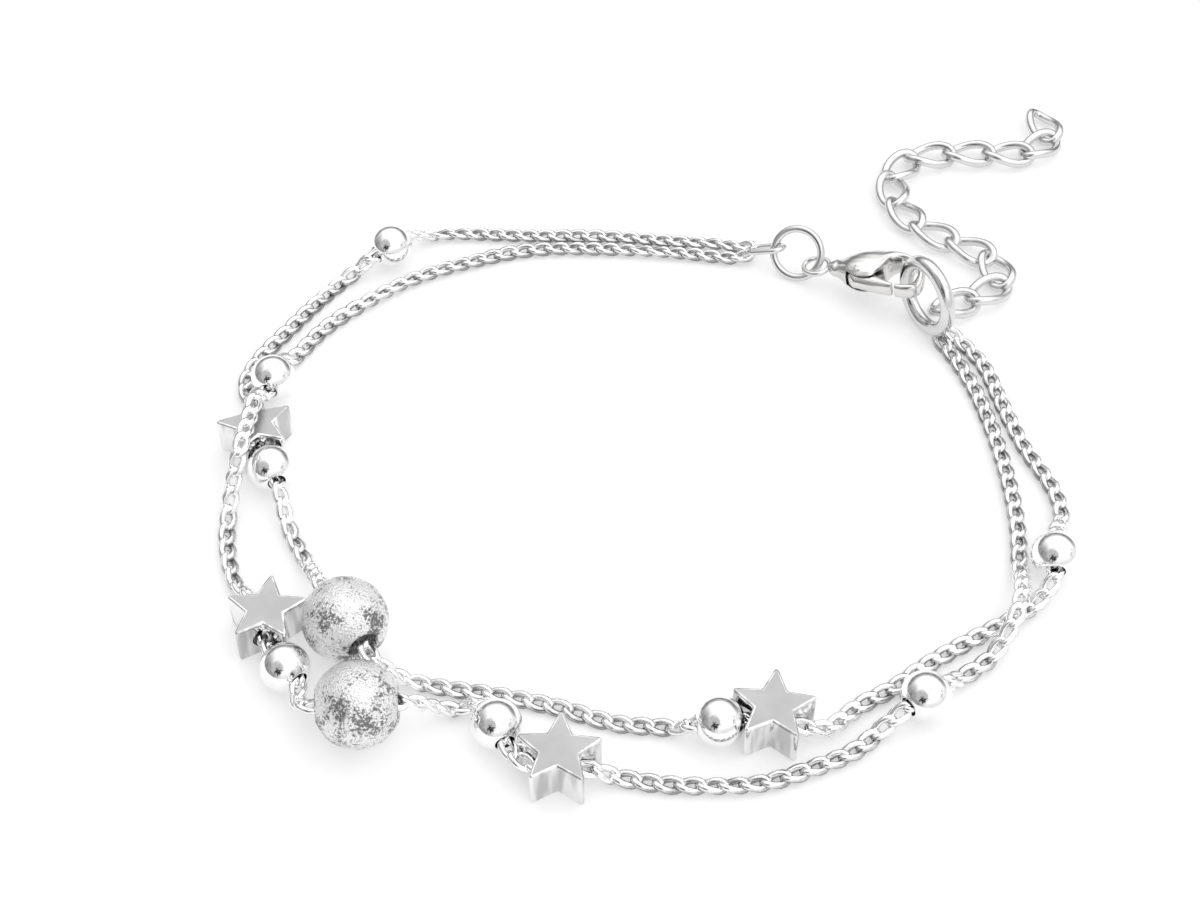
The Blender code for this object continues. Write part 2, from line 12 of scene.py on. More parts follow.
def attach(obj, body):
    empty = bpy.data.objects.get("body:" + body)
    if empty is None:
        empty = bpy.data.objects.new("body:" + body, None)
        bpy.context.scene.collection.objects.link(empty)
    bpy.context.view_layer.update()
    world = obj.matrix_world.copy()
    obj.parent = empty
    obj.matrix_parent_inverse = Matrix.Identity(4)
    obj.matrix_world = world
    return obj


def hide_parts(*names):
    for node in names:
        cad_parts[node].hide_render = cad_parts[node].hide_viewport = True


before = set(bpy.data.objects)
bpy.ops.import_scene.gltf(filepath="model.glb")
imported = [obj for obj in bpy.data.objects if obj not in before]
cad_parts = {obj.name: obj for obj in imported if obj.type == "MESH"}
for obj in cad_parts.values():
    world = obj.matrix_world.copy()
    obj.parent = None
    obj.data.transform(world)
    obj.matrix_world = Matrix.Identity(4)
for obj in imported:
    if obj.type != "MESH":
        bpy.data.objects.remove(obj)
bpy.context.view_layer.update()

# Sizes of the chains
STRAND_RADIUS = 0.00055
STRAND_PITCH = 0.00142
STRAND_WIDTH = 0.00138
STRAND_WIRE = 0.00050
STRAND_HEIGHT = 0.00044
STRAND_TWIST = math.radians(42)
STRAND_ROLL = math.radians(11)
EXTENDER_TWIST = math.radians(32)
# Along the left side the links roll further: where that starts, over what length, how far.
LEFT_SIDE = -0.016
LEFT_BLEND = 0.006
LEFT_ROLL = 2.2
LINK_POINTS = 16
LINK_SIDES = 6
LINK_NEST = 0.94
EXTENDER_PITCH = 0.0034
EXTENDER_WIDTH = 0.0031
EXTENDER_WIRE = 0.00075
EXTENDER_POINTS = 28
EXTENDER_SIDES = 10
EXTENDER_LIFT = 0.55
ROUTE_STEP = 0.0003

# Sizes of the charms
CLEARANCE = 0.0003
BEAD_DIAMETER = 0.0035
BEAD_BORE = 0.0017
BEAD_LIP = 0.00009
BALL_DIAMETER = 0.0060
BALL_BORE = 0.0026
BALL_LIP = 0.00012
BALL_WALL = 0.0005
BALL_SEGMENTS = 96
STAR_RADIUS = 0.00325
STAR_WAIST = 0.00145
STAR_THICKNESS = 0.0030
STAR_BORE = 0.0017
STAR_RIM = 0.00019
STAR_TIP = 0.00062
STAR_BORE_OFFSET = -STAR_WAIST * math.sin(math.pi / 10)

# Sizes of the rings, the strand link and the clasp
LINK_LENGTH = 0.0037
LINK_WIDTH = 0.0022
LINK_WIRE = 0.00045
JUMP_RING_DIAMETER = 0.0047
JUMP_RING_WIRE = 0.00065
JUMP_RING_LEAN = math.radians(60)
JUMP_RING_TURN = math.radians(-25)
END_RING_DIAMETER = 0.0068
END_RING_WIRE = 0.0012
END_RING_HEADING = math.radians(-62)
CLASP_LENGTH = 0.0094
CLASP_WIDTH = 0.0039
CLASP_THICKNESS = 0.0026
CLASP_WINDOW_END = 0.925
CLASP_EYE_RADIUS = 0.1117 * CLASP_LENGTH
CLASP_EYE_WIRE = 0.00045
LEVER_PLACE = (0.425 * CLASP_LENGTH, -0.55 * CLASP_WIDTH / 2)
LEVER_REACH = 0.345 * CLASP_LENGTH - CLEARANCE
LEVER_THICKNESS = 0.00134
LEVER_BOSS = 0.0018
LEVER_PIN = 0.0006
PIN_CLEARANCE = 0.0001
PIN_SHARE = 0.92
POCKET_REACH = 0.73
RING_DROP = 0.09
# The castings are remeshed at this size, then relaxed this many times.
CAST_VOXEL = 0.00004
BODY_ROUNDS = 6
LEVER_ROUNDS = 3
SECTION_STEPS = 5
SECTION_ROUND = 0.85
# Sections of the cast body from its neck round the back to the hook's point: the outer and
# the inner place as shares of the length and half width, and the share of the thickness.
CLASP_SECTIONS = [
    (0.115, 0.20, 0.115, -0.20, 0.30), (0.17, 0.40, 0.17, -0.40, 0.44),
    (0.22, 0.43, 0.22, -0.47, 0.50), (0.34, 0.78, 0.33, -0.85, 0.86),
    (0.47, 1.02, 0.43, -1.05, 1.00), (0.60, 1.10, 0.54, -0.98, 0.96),
    (0.66, 1.08, 0.605, -0.42, 0.90), (0.72, 1.03, 0.65, 0.24, 0.80),
    (0.79, 0.92, 0.73, 0.52, 0.70), (0.86, 0.76, 0.80, 0.54, 0.62),
    (0.94, 0.42, 0.875, 0.38, 0.55), (0.985, -0.05, 0.917, -0.04, 0.53),
    (1.00, -0.55, 0.925, -0.42, 0.52), (0.985, -0.98, 0.91, -0.76, 0.50),
    (0.93, -1.20, 0.865, -0.91, 0.49), (0.85, -1.28, 0.82, -0.93, 0.48),
    (0.775, -1.25, 0.778, -0.90, 0.47),
]
# Sections of the lever from its boss to its tip, as shares of its reach: the arm's inner and
# outer places, and the share of its half thickness.
LEVER_SECTIONS = [
    (-0.27, 0.17, -0.30, -0.12, 0.84), (-0.10, 0.27, -0.14, -0.28, 1.0),
    (0.08, 0.29, 0.02, -0.32, 1.0), (0.28, 0.20, 0.20, -0.36, 1.0), (0.45, 0.08, 0.42, -0.40, 1.0),
    (0.68, -0.06, 0.68, -0.43, 1.0), (0.90, -0.18, 0.90, -0.44, 0.97),
    (1.03, -0.24, 1.03, -0.42, 0.86),
]
CLASP_HEADING = math.radians(-22.0)
CLASP_PITCH = math.radians(12.0)

# Layout of the bracelet. The middle of the layout grid is the origin.
LAYOUT_MIDDLE = (0.00629, 0.00482)
JUMP_RING_PLACE = (0.01635, 0.02035)
CLASP_EYE_PLACE = (0.01790, 0.01930, 0.00160)
LINK_START = (0.01216, 0.02209, 0.00086)
LINK_END = (0.01550, 0.02070, 0.00240)
LINK_TILT = (0.12, 0.30, 0.95)

# Stops of each strand in millimetres, from the end ring round to the strand link.
# A charm stop is (kind, x, y, heading in degrees), and a plain stop is
# (kind, x, y, share of the way from the floor to the kind's height).
OUTER_ROUTE = [
    ("floor", 27.15, 11.95, 0), ("floor", 28.05, 10.05, 0),
    ("floor", 28.80, 8.02, 0), ("floor", 29.60, 5.00, 0),
    ("floor", 30.40, -0.60, 0), ("floor", 30.68, -6.90, 0), ("floor", 30.25, -11.70, 0),
    ("over_strand", 29.65, -15.30, 1), ("over_strand", 28.90, -17.60, 1),
    ("floor", 26.91, -20.24, 0), ("floor", 24.50, -21.95, 0), ("bead", 21.89, -24.21, -145),
    ("floor", 18.70, -26.20, 0), ("floor", 16.98, -27.74, 0), ("floor", 14.44, -28.92, 0),
    ("floor", 10.80, -30.23, 0), ("floor", 7.32, -30.47, 0), ("floor", 3.79, -30.31, 0),
    ("floor", 1.30, -29.85, 0), ("star", -2.68, -29.20, 177), ("by_star", -5.00, -29.60, 0.95),
    ("bead", -6.85, -26.52, 112), ("by_bead", -8.50, -24.40, 0.45),
    ("floor", -9.80, -24.40, 0), ("by_ball", -11.20, -24.80, 0.40),
    ("ball", -16.04, -25.78, 184), ("by_ball", -20.20, -24.60, 0.60),
    ("bead", -21.40, -21.85, 132), ("star", -23.10, -17.60, 106), ("floor", -26.00, -13.60, 0),
    ("floor", -27.06, -10.24, 0), ("floor", -27.35, -7.36, 0),
    ("over_star", -27.10, -5.40, 0.45), ("over_star", -26.55, -3.40, 1),
    ("over_star", -26.15, 0.60, 1), ("over_star", -26.00, 2.40, 0.95),
    ("bead", -25.45, 6.15, 82), ("floor", -24.35, 9.37, 0), ("floor", -22.37, 12.84, 0),
    ("floor", -19.57, 15.80, 0), ("floor", -15.53, 19.00, 0), ("floor", -10.72, 21.15, 0),
    ("floor", -5.73, 22.65, 0), ("floor", 0.84, 22.75, 0), ("floor", 7.58, 22.15, 0),
    ("floor", 11.35, 21.60, 0), ("by_bead", 12.95, 21.85, 0.25),
]
INNER_ROUTE = [
    ("by_bead", 27.85, 12.60, 0.30), ("floor", 29.33, 10.80, 0),
    ("floor", 30.46, 8.70, 0), ("floor", 31.20, 4.90, 0),
    ("floor", 32.39, -0.42, 0), ("floor", 33.85, -4.40, 0), ("floor", 34.05, -7.20, 0),
    ("bead", 32.58, -11.90, -98), ("floor", 30.60, -15.60, 0), ("floor", 28.49, -16.93, 0),
    ("floor", 25.90, -18.51, 0), ("floor", 22.49, -20.70, 0), ("floor", 20.10, -22.60, 0),
    ("floor", 17.45, -24.15, 0), ("by_star", 15.00, -26.35, 0.40), ("star", 11.52, -25.70, 173),
    ("bead", 7.93, -26.27, 188), ("floor", 4.80, -25.90, 0), ("floor", 1.14, -25.57, 0),
    ("floor", -2.70, -24.27, 0), ("floor", -6.93, -23.19, 0), ("floor", -10.10, -22.70, 0),
    ("floor", -12.70, -22.15, 0), ("ball", -17.48, -18.71, 122), ("floor", -21.30, -11.30, 0),
    ("floor", -22.67, -8.62, 0), ("bead", -24.50, -3.45, 112), ("star_left", -26.00, 0.15, 90),
    ("by_star", -25.70, 2.70, 0.40), ("floor", -26.35, 3.70, 0), ("floor", -27.85, 6.00, 0),
    ("floor", -27.20, 9.20, 0), ("floor", -25.00, 13.00, 0), ("floor", -23.05, 16.20, 0),
    ("floor", -20.67, 19.30, 0), ("bead", -17.40, 21.60, 42), ("floor", -14.30, 24.40, 0),
    ("floor", -10.88, 24.69, 0), ("floor", -5.77, 24.43, 0), ("floor", 1.44, 24.30, 0),
    ("floor", 6.17, 23.75, 0), ("floor", 10.00, 23.40, 0), ("floor", 11.60, 23.00, 0),
    ("by_bead", 13.10, 22.55, 0.40),
]
EXTENDER_ROUTE = [
    (27.35, 14.75), (28.60, 15.30), (30.80, 16.20), (33.10, 17.60), (33.30, 20.40), (31.10, 22.30),
    (28.00, 24.30), (26.00, 26.40), (25.30, 29.00), (25.60, 32.30), (27.80, 34.70),
    (31.70, 35.10), (35.10, 35.10), (38.40, 35.10), (40.30, 36.80), (40.00, 39.50),
    (38.90, 41.80),
]
MM = 0.001

# Finishes: tones of grey and sizes of grain
TARNISH = 0.06
MOP_MARKS = 0.000008
SATIN_TONES = (0.43, 0.50)
SATIN_LINES = 0.000004
FROST_TONES = (0.90, 0.20)
FROST_CRUMBS = 6500.0
FROST_DEPTH = 0.00011
FROST_PITS = (0.51, 0.58)
# The chain's painted shade: the dark and bright grey of its wire, and the heights between which it
# fades from dark to bright.
CHAIN_PAINTED_SHADE_TONES = (0.30, 0.94)
CHAIN_SHADE = (0.00032, 0.00082)
STAR_SIDE_TONES = (0.52, 0.86)
STREAK_DEPTH = 0.00003

# The studio is a white tent. How much darker it is at its left, at its far side and along the
# rest of its foot, and between which parts of a direction each of these fades in.
TENT_LEFT = 0.82
TENT_FAR = 0.84
TENT_FOOT = 0.45
LEFT_FADE = (-0.45, 0.75)
LEFT_WALL_FADE = (0.25, 1.0)
FAR_FADE = (-0.10, 0.70)
FOOT_FADE = (0.16, 0.72)
# Dark openings of the tent: direction, the angles where each is full and gone, and how dark.
TENT_OPENINGS = [
    ((-0.52, -0.58, 0.62), 22, 46, 0.66),
    ((-0.42, -0.72, 0.50), 6, 24, 1.0),
    ((0.90, -0.20, 0.38), 5, 17, 0.65),
    ((0.25, 0.45, 0.85), 2, 10, 0.35),
]
OPENING_COLOUR = (0.02, 0.02, 0.022, 1.0)
RAGGED_EDGE = 0.30
WORLD_STRENGTH = 1.55
PAPER_COLOUR = (0.60, 0.60, 0.602, 1.0)
PAPER_GLOW = 0.45

# The camera, at the photograph's angle
CAMERA_LENS = 57.6
CAMERA_PLACE = (0.0, -100.05, 0.10729)
CAMERA_TILT = math.radians(43.0)


class Wire:
    """An output of a shader tree. Reckoning with it adds Math nodes."""

    def __init__(self, tree, output):
        self.tree = tree
        self.output = output

    def math(self, operation, *values):
        return self.node("ShaderNodeMath", {"operation": operation}, dict(enumerate(values)))

    def __add__(self, other):
        return self.math("ADD", self, other)

    __radd__ = __add__

    def __sub__(self, other):
        return self.math("SUBTRACT", self, other)

    def __rsub__(self, other):
        return self.math("SUBTRACT", other, self)

    def __mul__(self, other):
        return self.math("MULTIPLY", self, other)

    __rmul__ = __mul__

    def between(self, low, high):
        """0 below one value and 1 above the other, with a smooth step in between."""
        return self.node("ShaderNodeMapRange", {"interpolation_type": "SMOOTHSTEP"},
                         {"Value": self, "From Min": low, "From Max": high})

    def node(self, kind, settings=None, sockets=None, output=0):
        """Adds any node: its settings first, then the values or links of its sockets."""
        added = self.tree.nodes.new(kind)
        for name, value in (settings or {}).items():
            setattr(added, name, value)
        for name, value in (sockets or {}).items():
            if isinstance(value, Wire):
                self.tree.links.new(value.output, added.inputs[name])
            else:
                added.inputs[name].default_value = value
        return Wire(self.tree, added.outputs[output])


def blended(share, first, second):
    """A colour part of the way from one colour to another."""
    return share.node("ShaderNodeMix", {"data_type": "RGBA"},
                      {"Factor": share, "A": first, "B": second}, "Result")


def grey(value, warmth=0.0):
    return (value * (1 + warmth), value, value * (1 - warmth), 1.0)


def new_metal(name):
    """A metal material with its tree's Object coordinates and its main shader."""
    made = bpy.data.materials.new(name)
    made.use_nodes = True
    tree = made.node_tree
    shader = tree.nodes["Principled BSDF"]
    shader.inputs["Metallic"].default_value = 1.0
    start = Wire(tree, None)
    place = start.node("ShaderNodeTexCoord", output="Object")
    return made, shader, place


def feed(wire, shader, socket):
    wire.tree.links.new(wire.output, shader.inputs[socket])


def grain(place, size, detail=2.0, rough=0.5):
    """Noise whose lumps are about the given size."""
    return place.node("ShaderNodeTexNoise", None,
                      {"Vector": place, "Scale": 1.0 / size, "Detail": detail,
                       "Roughness": rough})


def bump(height, distance):
    return height.node("ShaderNodeBump", None, {"Height": height, "Distance": distance})


def polished_metal(name, light, roughness, warmth=0.0):
    """Polished plate: faint clouds of tarnish and the fine marks of the polishing mop."""
    made, shader, place = new_metal(name)
    cloud = grain(place, 0.0016, 3.0)
    tarnished = grey(light * (1 - TARNISH), warmth)
    feed(blended(cloud.between(0.35, 0.75), grey(light, warmth), tarnished), shader, "Base Color")
    marks = grain(place, 0.00025, 4.0, 0.7)
    feed(roughness + marks.between(0.45, 0.85) * roughness, shader, "Roughness")
    feed(bump(grain(place, 0.0009, 2.0), MOP_MARKS), shader, "Normal")
    return made


def satin_metal(name):
    """The stars' flat faces: lapped to an even grey with a faint grain one way."""
    made, shader, place = new_metal(name)
    stretched = place.node("ShaderNodeMapping", None, {"Vector": place, "Scale": (1.0, 9.0, 1.0)})
    lines = grain(stretched, 0.0006, 5.0, 0.65)
    cloud = grain(place, 0.0022, 2.0)
    tone = lines * 0.35 + cloud * 0.65
    low, high = SATIN_TONES
    feed(blended(tone.between(0.30, 0.70), grey(low), grey(high)), shader, "Base Color")
    feed(0.34 + lines * 0.16, shader, "Roughness")
    feed(bump(lines, SATIN_LINES), shader, "Normal")
    return made


def frosted_metal(name):
    """Sandblasted balls: a bright crumb of tiny facets with dark pits between them."""
    made, shader, place = new_metal(name)
    crumb = place.node("ShaderNodeTexVoronoi", None, {"Vector": place, "Scale": FROST_CRUMBS},
                       "Distance")
    fine = grain(place, 0.00020, 3.0, 0.75)
    coarse = grain(place, 0.0016, 2.0)
    pits = (fine * 0.55 + coarse * 0.45).between(*FROST_PITS)
    light, dark = FROST_TONES
    feed(blended(pits, grey(light), grey(dark)), shader, "Base Color")
    feed(0.12 + fine * 0.20, shader, "Roughness")
    feed(bump(crumb * 0.3 + fine, FROST_DEPTH), shader, "Normal")
    return made


def chain_metal(name, roughness):
    """Polished fine wire with painted shade: darker toward the floor, where shade falls between
    the links.
    """
    made, shader, place = new_metal(name)
    low, high = CHAIN_PAINTED_SHADE_TONES
    foot, top = CHAIN_SHADE
    height = place.node("ShaderNodeSeparateXYZ", None, {"Vector": place}, "Z")
    cloud = grain(place, 0.0009, 3.0, 0.6)
    # Painted shade: the wire's colour darkens toward the floor, with a little noise in the fade.
    painted_light_share = (height + (cloud - 0.5) * (top - foot)).between(foot, top)
    feed(blended(painted_light_share, grey(low), grey(high)), shader, "Base Color")
    feed(roughness + cloud * roughness, shader, "Roughness")
    feed(bump(grain(place, 0.0009, 2.0), MOP_MARKS), shader, "Normal")
    return made


def streaked_metal(name, roughness):
    """The stars' polished sides, with soft upright streaks left by the mop."""
    made, shader, place = new_metal(name)
    low, high = STAR_SIDE_TONES
    upright = place.node("ShaderNodeMapping", None, {"Vector": place, "Scale": (1.0, 1.0, 0.16)})
    streak = grain(upright, 0.0011, 2.0)
    feed(blended(streak.between(0.42, 0.62), grey(high), grey(low)), shader, "Base Color")
    feed(roughness + grain(place, 0.0003, 3.0) * roughness, shader, "Roughness")
    feed(bump(streak, STREAK_DEPTH), shader, "Normal")
    return made


def ragged_spot(way, ragged, direction, full, gone):
    """1 round a direction, falling to 0 across a ragged edge. The angles are in degrees."""
    facing = way.node("ShaderNodeVectorMath", {"operation": "DOT_PRODUCT"},
                      {0: way, 1: tuple(Vector(direction).normalized())}, "Value")
    facing = facing + (ragged - 0.5) * RAGGED_EDGE
    return facing.between(math.cos(math.radians(gone)), math.cos(math.radians(full)))


def make_world():
    """A white tent, greyer at its left and along its foot, with a few dark openings."""
    world = bpy.data.worlds.new("white_tent")
    bpy.context.scene.world = world
    world.use_nodes = True
    start = Wire(world.node_tree, None)
    way = start.node("ShaderNodeTexCoord", output="Generated")
    ragged = start.node("ShaderNodeTexNoise", None,
                        {"Vector": way, "Scale": 5.5, "Detail": 5.0, "Roughness": 0.70})
    x = way.node("ShaderNodeSeparateXYZ", None, {"Vector": way}, "X")
    y = way.node("ShaderNodeSeparateXYZ", None, {"Vector": way}, "Y")
    z = way.node("ShaderNodeSeparateXYZ", None, {"Vector": way}, "Z")
    foot = 1 - z.between(*FOOT_FADE)
    side = (0.0 - x).between(*LEFT_FADE) * TENT_LEFT
    far = y.between(*FAR_FADE) * TENT_FAR
    most = side.math("MAXIMUM", side, far)
    shade = foot * most.math("MAXIMUM", most, TENT_FOOT)
    shade = shade.math("MAXIMUM", shade, (0.0 - x).between(*LEFT_WALL_FADE) * TENT_LEFT)
    shade = shade * (0.62 + ragged * 0.75)
    for direction, full, gone, depth in TENT_OPENINGS:
        shade = shade.math("MAXIMUM", shade,
                           ragged_spot(way, ragged, direction, full, gone) * depth)
    light = blended(shade, (1.0, 1.0, 1.0, 1.0), OPENING_COLOUR)
    background = world.node_tree.nodes["Background"]
    feed(light, background, "Color")
    background.inputs["Strength"].default_value = WORLD_STRENGTH


def set_mode(mode):
    bpy.ops.object.mode_set(mode=mode)


def start_primitive(add, **settings):
    """Adds one of Blender's primitives with nothing else selected."""
    bpy.ops.object.select_all(action="DESELECT")
    add(**settings)
    return bpy.context.object


def pick(piece):
    """Selects one piece alone and makes it the active one."""
    bpy.ops.object.select_all(action="DESELECT")
    piece.select_set(True)
    bpy.context.view_layer.objects.active = piece


def select_parts(piece, kind, test):
    """Selects the vertices or edges whose middle passes a test, in edit mode."""
    bpy.ops.mesh.select_mode(type={"verts": "VERT", "edges": "EDGE"}[kind])
    bpy.ops.mesh.select_all(action="DESELECT")
    mesh = bmesh.from_edit_mesh(piece.data)
    for part in getattr(mesh, kind):
        middle = part.co if kind == "verts" else (part.verts[0].co + part.verts[1].co) / 2
        if test(middle):
            part.select_set(True)
    bmesh.update_edit_mesh(piece.data)


def apply_modifier(piece, kind, **settings):
    pick(piece)
    added = piece.modifiers.new(kind.title(), kind)
    for name, value in settings.items():
        setattr(added, name, value)
    bpy.ops.object.modifier_apply(modifier=added.name)


def shade(piece, degrees):
    """Shades smooth, except over edges sharper than an angle."""
    pick(piece)
    bpy.ops.object.shade_smooth_by_angle(angle=math.radians(degrees))


def turn_outward(piece):
    """Turns every face of a closed piece outward."""
    pick(piece)
    set_mode("EDIT")
    bpy.ops.mesh.select_all(action="SELECT")
    bpy.ops.mesh.normals_make_consistent(inside=False)
    set_mode("OBJECT")


def piece_of(name, vertices, faces):
    """A new closed piece made from arrays."""
    mesh = bpy.data.meshes.new(name)
    mesh.from_pydata(vertices, [], faces)
    made = bpy.data.objects.new(name, mesh)
    bpy.context.scene.collection.objects.link(made)
    turn_outward(made)
    return made


def copy_of(model, name, place):
    """A copy with a mesh of its own, its place in the mesh."""
    made = model.copy()
    made.data = model.data.copy()
    made.name = name
    made.data.name = name
    bpy.context.scene.collection.objects.link(made)
    made.data.transform(place)
    return made


def stand_for(piece, node, body="bracelet"):
    """Lets a piece ride on a body and take the place of a solid."""
    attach(piece, body)
    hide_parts(node)


def on_floor(x, y, z=0.0):
    """A place of the layout grid in millimetres, in the part's own metres."""
    return Vector((x * MM - LAYOUT_MIDDLE[0], y * MM - LAYOUT_MIDDLE[1], z))


def frame_from(place, along, up):
    """A frame at a place: X along one way, Z as near as it can to another."""
    x = along.normalized()
    y = up.cross(x).normalized()
    rotation = Matrix((x, y, x.cross(y))).transposed().to_4x4()
    return Matrix.Translation(place) @ rotation


CHARM_HEIGHT = {"bead": BEAD_DIAMETER / 2, "ball": BALL_DIAMETER / 2, "star": STAR_THICKNESS / 2}
CHARM_REACH = {
    "bead": BEAD_DIAMETER / 2 - CLEARANCE / 3,
    "ball": BALL_DIAMETER / 2 + CLEARANCE,
    "star": STAR_WAIST + CLEARANCE / 2,
}
PLAIN_HEIGHT = {
    "floor": STRAND_HEIGHT,
    "over_strand": STRAND_RADIUS * 3 + CLEARANCE,
    "over_star": STAR_THICKNESS + STRAND_RADIUS + CLEARANCE,
    "by_ball": BALL_DIAMETER / 2,
    "by_bead": BEAD_DIAMETER / 2,
    "by_star": STAR_THICKNESS / 2,
}


def read_route(route):
    """The stops of a strand, the pairs that a bore keeps straight, and the charms' places."""
    stops = []
    pinned = set()
    charms = []
    for kind, x, y, value in route:
        if kind in PLAIN_HEIGHT:
            low = PLAIN_HEIGHT["floor"]
            stops.append(on_floor(x, y, low + value * (PLAIN_HEIGHT[kind] - low)))
            continue
        left = kind == "star_left"
        kind = kind.removesuffix("_left")
        place = on_floor(x, y, CHARM_HEIGHT[kind])
        way = math.radians(value)
        direction = Vector((math.cos(way), math.sin(way), 0))
        turn = way if left or kind != "star" else way + math.pi
        charms.append((kind, place, turn))
        if kind == "star":
            place = place + Vector((-math.sin(turn), math.cos(turn), 0)) * STAR_BORE_OFFSET
        pinned.add(len(stops))
        stops.append(place - direction * CHARM_REACH[kind])
        stops.append(place + direction * CHARM_REACH[kind])
    return stops, pinned, charms


def smooth_points(stops, step, pinned):
    """Points of a smooth curve through the stops, with a pinned pair joined by a straight run."""
    points = [stops[0]]
    for i in range(len(stops) - 1):
        before = stops[max(i - 1, 0)]
        start = stops[i]
        end = stops[i + 1]
        after = stops[min(i + 2, len(stops) - 1)]
        span = (end - start).length
        leave = (end - before).normalized() * span
        arrive = (after - start).normalized() * span
        if i in pinned:
            leave = arrive = end - start
        elif i - 1 in pinned:
            leave = (start - before).normalized() * span
        if i + 1 in pinned:
            arrive = (after - end).normalized() * span
        pieces = max(1, math.ceil(span / step))
        for k in range(1, pieces + 1):
            t = k / pieces
            point = start * (2 * t**3 - 3 * t**2 + 1) + leave * (t**3 - 2 * t**2 + t)
            point += end * (3 * t**2 - 2 * t**3) + arrive * (t**3 - t**2)
            point.z = max(point.z, PLAIN_HEIGHT["floor"])
            points.append(point)
    return points


def joints_along(points, pitch):
    """Places one pitch apart along a dense line of points."""
    joints = [points[0]]
    last = points[0]
    for point in points[1:]:
        while (point - joints[-1]).length >= pitch:
            step = point - last
            reach = joints[-1]
            low, high = 0.0, 1.0
            for _ in range(20):
                middle = (low + high) / 2
                if (last + step * middle - reach).length < pitch:
                    low = middle
                else:
                    high = middle
            joints.append(last + step * high)
        last = point
    return joints


def link_wire(start, end, up, width, wire, twist, points, sides):
    """The vertices of one curb link between two joints, ring by ring."""
    half = ((end - start).length + wire * LINK_NEST) / 2
    side = (width - wire) / 2
    place = frame_from((start + end) / 2, end - start, up)
    centres = []
    for k in range(points):
        angle = 2 * math.pi * (k + 0.5) / points
        along = half * math.cos(angle)
        across = side * math.sin(angle)
        turn = twist * math.cos(angle)
        centres.append(place @ Vector((along, across * math.cos(turn), across * math.sin(turn))))
    middle = sum(centres, Vector()) / points
    vertices = []
    for i, centre in enumerate(centres):
        tangent = (centres[(i + 1) % points] - centres[i - 1]).normalized()
        outward = centre - middle
        outward = (outward - tangent * outward.dot(tangent)).normalized()
        other = tangent.cross(outward)
        for k in range(sides):
            angle = 2 * math.pi * (k + 0.5) / sides
            offset = outward * math.cos(angle) + other * math.sin(angle)
            vertices.append(centre + offset * wire / 2)
    return vertices


def roll_at(place, number):
    """How far a link rolls about its chain: a slow wave, and on its edge along the left side."""
    left = min(max((LEFT_SIDE - LAYOUT_MIDDLE[0] - place.x) / LEFT_BLEND, 0.0), 1.0)
    wave = math.sin(number * 0.37) + 0.6 * math.sin(number * 1.13 + 1.0)
    return STRAND_ROLL * (wave + LEFT_ROLL * left)


def chain_of(name, joints, width, wire, twist, points, sides, finish, rolls=False):
    """All links of a chain as one mesh made from arrays."""
    vertices = []
    faces = []
    for number, (start, end) in enumerate(zip(joints, joints[1:])):
        first = len(vertices)
        up = Vector((0, 0, 1))
        if rolls:
            up = Matrix.Rotation(roll_at(start, number), 3, end - start) @ up
        vertices += link_wire(start, end, up, width, wire, twist, points, sides)
        for i in range(points):
            after = (i + 1) % points
            for k in range(sides):
                beside = (k + 1) % sides
                faces.append((first + i * sides + k, first + i * sides + beside,
                              first + after * sides + beside, first + after * sides + k))
    made = piece_of(name, vertices, faces)
    made.data.materials.append(finish)
    shade(made, 180)
    return made


def drilled_ball(name, diameter, bore, lip, finish, wall=None, segments=64):
    """A ball with its bore along X and rounded lips; hollow if it has a wall."""
    radius = diameter / 2
    made = start_primitive(bpy.ops.mesh.primitive_uv_sphere_add, segments=segments,
                           ring_count=segments // 2, radius=radius, rotation=(0, math.pi / 2, 0))
    bpy.ops.object.transform_apply(location=True, rotation=True, scale=True)
    made.name = name
    mouth = math.sqrt(radius**2 - (bore / 2)**2)
    set_mode("EDIT")
    for side in (1, -1):
        bpy.ops.mesh.select_all(action="SELECT")
        bpy.ops.mesh.bisect(plane_co=(side * mouth, 0, 0), plane_no=(side, 0, 0),
                            clear_outer=True)
    if wall is None:
        bpy.ops.mesh.select_mode(type="EDGE")
        bpy.ops.mesh.select_all(action="DESELECT")
        bpy.ops.mesh.select_non_manifold()
        bpy.ops.mesh.bridge_edge_loops()
    set_mode("OBJECT")
    if wall is not None:
        apply_modifier(made, "SOLIDIFY", thickness=wall, offset=-1.0)
    apply_modifier(made, "BEVEL", width=lip, segments=3, limit_method="ANGLE",
                   angle_limit=math.radians(40))
    made.data.materials.append(finish)
    shade(made, 50)
    return made


